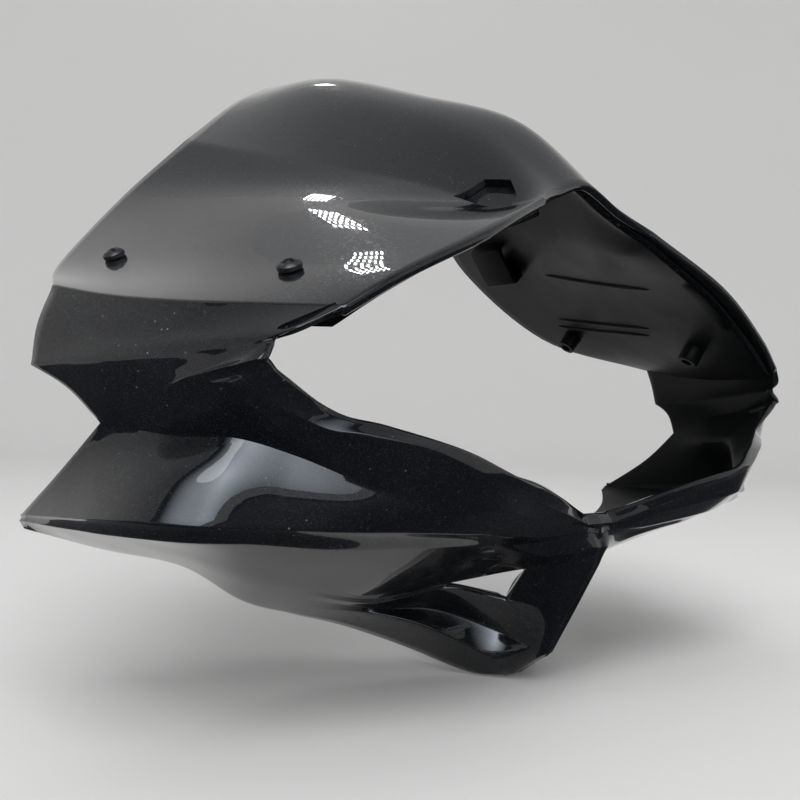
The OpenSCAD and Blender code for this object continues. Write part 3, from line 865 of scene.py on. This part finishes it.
class COWL_OT_fittings(Operator):
    """Parts moulded on the inner side of the shell"""
    bl_idname = "cowl.fittings"
    bl_label = "Mounting boxes, bosses and flanges"

    def execute(self, context):
        v, f = context.scene.cowl_visor, context.scene.cowl_fittings
        inside = finish_of("Bare plastic", context)
        pieces = [("mount_box", *self.mount_box(f, v)), ("keel_flange", *self.flange(f))]
        pieces += [(f"screw_boss_{row}", *self.boss(f, v, spot))
                   for row, spot in (("front", FRONT_SPOT), ("rear", REAR_SPOT))]
        pieces += [(f"inner_rib_{row}", *self.rib(f, line)) for row, line in RIBS.items()]
        for name, rings, loop in pieces:
            for side, hand in ((1, "left"), (-1, "right")):
                points, faces = closed_rings(on_side(rings, side), loop)
                obj = new_object(f"{name}_{hand}", points, faces, [inside], sharp=40)
                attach(obj, "root")
        return {"FINISHED"}

    def mount_box(self, f, v):
        """Open box: rounded rectangles carried along Y, outside back to the plate, round its bolt
        hole and forward again on the inside, then leaned and cut off under the deck."""
        b, hole = f.box / MM, f.bolt_hole / MM / 2
        lean = np.radians(BOX_LEAN)
        outer = rounded_rectangle([-b / 2, -BOX_HALF], [b / 2, BOX_HALF + 12], 2)
        half = np.array([b / 2 - BOX_WALL, BOX_HALF - BOX_WALL])
        inner = rounded_rectangle(-half, half, 1.5)
        a = np.linspace(0, 2 * np.pi, 64, endpoint=False) + np.pi / 64
        round_hole = hole * np.c_[np.cos(a), np.sin(a)]

        def at(outline, y):
            return np.c_[outline[:, 0], np.full(64, y), outline[:, 1]]

        small, wide_hole, front, plate = outer * 0.97, round_hole * 1.12, -BOX_LENGTH, -BOX_PLATE
        rings = np.array([at(small, front), at(outer, front + 0.6), at(outer, -0.6), at(small, 0),
                          at(wide_hole, 0), at(round_hole, -0.5), at(round_hole, plate + 0.5),
                          at(wide_hole, plate), at(inner * 0.97, plate), at(inner, plate - 0.6),
                          at(inner, front + 0.6), at(inner * 1.02, front)])
        rings = rings[:, ::-1]
        turn = np.array([[np.cos(lean), 0, -np.sin(lean)], [0, 1, 0], [np.sin(lean), 0, np.cos(lean)]])
        rings = rings @ turn + MOUNT_HOLE
        p, out = on_visor(MOUNT_SPOT)
        over = (rings - p) @ out + (v.wall + v.gap) / MM + 1.2
        up = turn[2]
        rings = rings - np.maximum(over, 0)[..., None] / (up @ out) * up
        return rings, True

    def boss(self, f, v, spot):
        """Hollow cylinder under the deck: a closed profile of revolution with a slight draft."""
        top, low = -((v.wall + v.gap) / MM + 0.6), -(f.shank_length / MM + 3)
        bore = f.shank / MM / 2 + 0.1
        profile = [[5.0, top], [5.0, low + 0.5], [4.6, low], [bore + 0.3, low], [bore, low + 0.4],
                   [bore, top]]
        rings = lathe(profile[::-1], 48)
        p, axes = spot_axes(spot)
        return rings @ axes + p, True

    def rib(self, f, line):
        """Round bead along a smooth line: circles across the line whose radius falls off to each
        end like the root of a half circle."""
        path = smooth(line, 12)
        along = unit(np.gradient(path, axis=0))
        side = unit(np.cross(along, [0.0, 0.0, 1.0]))
        t = np.linspace(-1, 1, len(path))
        size = (f.rib / MM * np.sqrt(1.02 - t ** 4))[:, None, None]
        a = np.linspace(0, 2 * np.pi, 17)[:-1, None]
        circle = np.cos(a) * side[:, None] + np.sin(a) * np.cross(along, side)[:, None]
        return path[:, None] + size * circle, False

    def flange(self, f):
        """Upright plate with a round front end: its outline in rings across the thickness."""
        r, thick, long = f.lug / MM / 2, FLANGE_THICK, FLANGE_LENGTH
        a = np.linspace(np.pi / 2, 3 * np.pi / 2, 25)
        outline = np.concatenate([np.c_[r * np.cos(a), r * np.sin(a)], [[long, -r], [long, r]]])
        middle = np.array([long / 2 - r / 2, 0])
        soft = middle + (outline - middle) * 0.95

        def at(shape, x):
            return np.c_[np.full(len(shape), x), shape]

        rings = np.array([at(soft * 0.5, 0.0), at(soft, 0.0), at(outline, 0.4), at(outline, thick - 0.4),
                          at(soft, thick), at(soft * 0.5, thick)])
        return rings + FLANGE_AT, False


def look(obj, at, target):
    """Turns a lamp at a place so that it points to its target."""
    obj.location = at
    obj.rotation_euler = (Vector(target) - Vector(at)).to_track_quat("-Z", "Y").to_euler()


class COWL_OT_stage(Operator):
    """Pale floor and backdrop, soft lamps and the camera"""
    bl_idname = "cowl.stage"
    bl_label = "Stage"

    def execute(self, context):
        s = context.scene.cowl_stage
        scene = context.scene
        self.floor(context, s)
        self.dark_screen(context)
        self.led_panel(context)
        self.soft_box(context)
        self.camera(scene, s)
        for name, place_at, target, size, power, mirrored_in_gloss in LAMPS:
            lamp = bpy.data.lights.new(name, "AREA")
            lamp.shape, lamp.size, lamp.energy = "DISK", size, power
            obj = bpy.data.objects.new(name, lamp)
            obj.visible_glossy = mirrored_in_gloss
            obj.visible_camera = False
            context.collection.objects.link(obj)
            look(obj, place_at, target)
        world = bpy.data.worlds.new("Studio")
        scene.world = world
        world.use_nodes = True
        world.node_tree.nodes["Background"].inputs["Color"].default_value = WORLD_COLOUR
        scene.view_settings.view_transform = "Standard"
        return {"FINISHED"}

    def floor(self, context, s):
        """Round floor whose rim sweeps up into a wall: rings of a line, a quarter circle and a line
        about the vertical axis."""
        low = float(CAD_BOX[0][2]) / MM - 0.4
        turn = np.linspace(0, 2 * np.pi, 97)[:-1]
        a = np.linspace(-np.pi / 2, 0, 16)
        flat, lift, top = FLOOR_FLAT, FLOOR_SWEEP, FLOOR_TOP
        out = np.concatenate([np.linspace(0, flat, 10)[1:-1], flat + lift * np.cos(a), [flat + lift]])
        up = np.concatenate([np.zeros(8), lift + lift * np.sin(a), [lift + top]])
        rings = turned(out, low + up, turn)
        middle = np.array([[0.0, 0.0, low]])
        points = np.concatenate([middle, rings.reshape(-1, 3)])
        first = 1 + np.arange(len(turn))
        faces = (grid_quads(rings.shape[:2], tube=True)[..., ::-1].reshape(-1, 4) + 1).tolist()
        faces += np.stack([np.zeros(len(turn), int), first, np.roll(first, -1)], -1).tolist()
        m, shader = mottled("Pale floor", 3.0, scaled(s.floor, 0.985), tuple(s.floor), 0.7)
        shader.inputs["Specular IOR Level"].default_value = 0.1
        obj = new_object("floor", points, faces, [m], to_frame=False)

    def dark_screen(self, context):
        """Dark screen round the camera's side, seen by reflections alone: a strip along the floor
        with a low rim, carried round the vertical axis."""
        low = float(CAD_BOX[0][2]) / MM + 1.0
        turn = np.radians(np.linspace(*SCREEN_TURN, 60)) - np.pi / 2
        grid = turned(SCREEN_OUT, low + SCREEN_UP, turn)
        m, _ = mottled("Dark screen", 2.0, (0.01, 0.011, 0.013), (0.03, 0.032, 0.036), 0.9)
        faces = grid_quads(grid.shape[:2]).reshape(-1, 4)
        obj = new_object("dark_screen", grid.reshape(-1, 3), faces, [m], to_frame=False)
        obj.visible_camera = obj.visible_diffuse = obj.visible_shadow = False

    def led_panel(self, context):
        """Small ceiling lamp of bright dots: a square grid of small discs, turned to the object."""
        z = unit(-LED_MIDDLE)
        x = unit(np.cross(z, [0.0, 0.0, 1.0]))
        y = np.cross(z, x)
        k = (np.arange(LED_COUNT) - (LED_COUNT - 1) / 2) * LED_PITCH
        centres = (k[:, None, None] * x + k[None, :, None] * y).reshape(-1, 3) + LED_MIDDLE
        a = np.linspace(0, 2 * np.pi, 9)[:-1]
        disc = LED_RADIUS * (np.cos(a)[:, None] * x + np.sin(a)[:, None] * y)
        points = centres[:, None] + disc[None]
        faces = np.arange(points.shape[0] * 8).reshape(-1, 8)
        m, _, shader, _ = material("LED")
        shader.inputs["Emission Color"].default_value = (1.0, 1.0, 1.0, 1.0)
        shader.inputs["Emission Strength"].default_value = LED_STRENGTH
        obj = new_object("led_panel", points.reshape(-1, 3), faces, [m], to_frame=False)

    def soft_box(self, context):
        """Large soft light behind the camera, seen by reflections alone: part of a sphere about the
        origin, bright in the middle and fading to its edge."""
        turn = np.radians(np.linspace(-95, 15, 40))[:, None]
        lift = np.radians(np.linspace(3, 75, 30))[None]
        grid = np.stack([np.sin(turn) * np.cos(lift), -np.cos(turn) * np.cos(lift),
                         np.sin(lift) + 0 * turn], -1) * SOFT_BOX_RADIUS / MM
        centre = SOFT_BOX_RADIUS * SOFT_BOX_MIDDLE
        m, t, shader, vector = material("Soft box")
        mapping = vector.node
        mapping.inputs["Scale"].default_value = (1 / SOFT_BOX_REACH,) * 3
        mapping.inputs["Location"].default_value = tuple(-centre / SOFT_BOX_REACH)
        fade = node(t, "ShaderNodeTexGradient", gradient_type="SPHERICAL")
        glow = mixed(t, fade.outputs["Fac"], (0.0, 0.0, 0.0), SOFT_BOX_COLOUR)
        wire(t, vector, fade.inputs["Vector"], glow, shader.inputs["Emission Color"])
        shader.inputs["Emission Strength"].default_value = SOFT_BOX_STRENGTH
        shader.inputs["Base Color"].default_value = (0.02, 0.02, 0.02, 1.0)
        obj = new_object("soft_box", grid.reshape(-1, 3), grid_quads(grid.shape[:2]).reshape(-1, 4), [m],
                         to_frame=False)
        obj.visible_camera = obj.visible_diffuse = obj.visible_shadow = False

    def camera(self, scene, s):
        """Camera at the photograph's place, from its right and up axes."""
        view, right = Vector(CAMERA_VIEW).normalized(), Vector(CAMERA_RIGHT)
        right = (right - view * right.dot(view)).normalized()
        up = right.cross(view)
        data = bpy.data.cameras.new("Camera")
        data.lens, data.sensor_width = s.lens, 36.0
        data.clip_start, data.clip_end = 0.02, 50.0
        obj = bpy.data.objects.new("Camera", data)
        obj.matrix_world = Matrix((right, up, -view)).transposed().to_4x4()
        obj.location = CAMERA_AT
        scene.collection.objects.link(obj)
        scene.camera = obj


class COWL_PT_panel(Panel):
    """Settings and builders of the cowl"""
    bl_idname = "COWL_PT_panel"
    bl_label = "Headlight cowl"
    bl_space_type = "VIEW_3D"
    bl_region_type = "UI"
    bl_category = "Cowl"

    def draw(self, context):
        for name, label in SETTINGS:
            box = self.layout.box()
            box.label(text=label)
            group = getattr(context.scene, name)
            for key in type(group).__annotations__:
                box.prop(group, key)
        for op in OPERATORS:
            self.layout.operator(op.bl_idname)


SETTINGS = (("cowl_shell", "Shell"), ("cowl_visor", "Visor"), ("cowl_fittings", "Fittings"),
            ("cowl_finish", "Finish"), ("cowl_stage", "Stage"))
GROUPS = (ShellSettings, VisorSettings, FittingSettings, FinishSettings, StageSettings)
OPERATORS = (COWL_OT_stage, COWL_OT_shell, COWL_OT_visor, COWL_OT_screws, COWL_OT_fittings)


def register():
    for cls in (*GROUPS, *OPERATORS, COWL_PT_panel):
        bpy.utils.register_class(cls)
    for (name, _), group in zip(SETTINGS, GROUPS):
        setattr(bpy.types.Scene, name, PointerProperty(type=group))


def unregister():
    for name, _ in SETTINGS:
        delattr(bpy.types.Scene, name)
    for cls in (COWL_PT_panel, *OPERATORS[::-1], *GROUPS[::-1]):
        bpy.utils.unregister_class(cls)


def main():
    register()
    for op in (bpy.ops.cowl.stage, bpy.ops.cowl.shell, bpy.ops.cowl.visor, bpy.ops.cowl.screws,
               bpy.ops.cowl.fittings):
        op()
    bpy.context.view_layer.update()


if __name__ == "__main__":
    main()
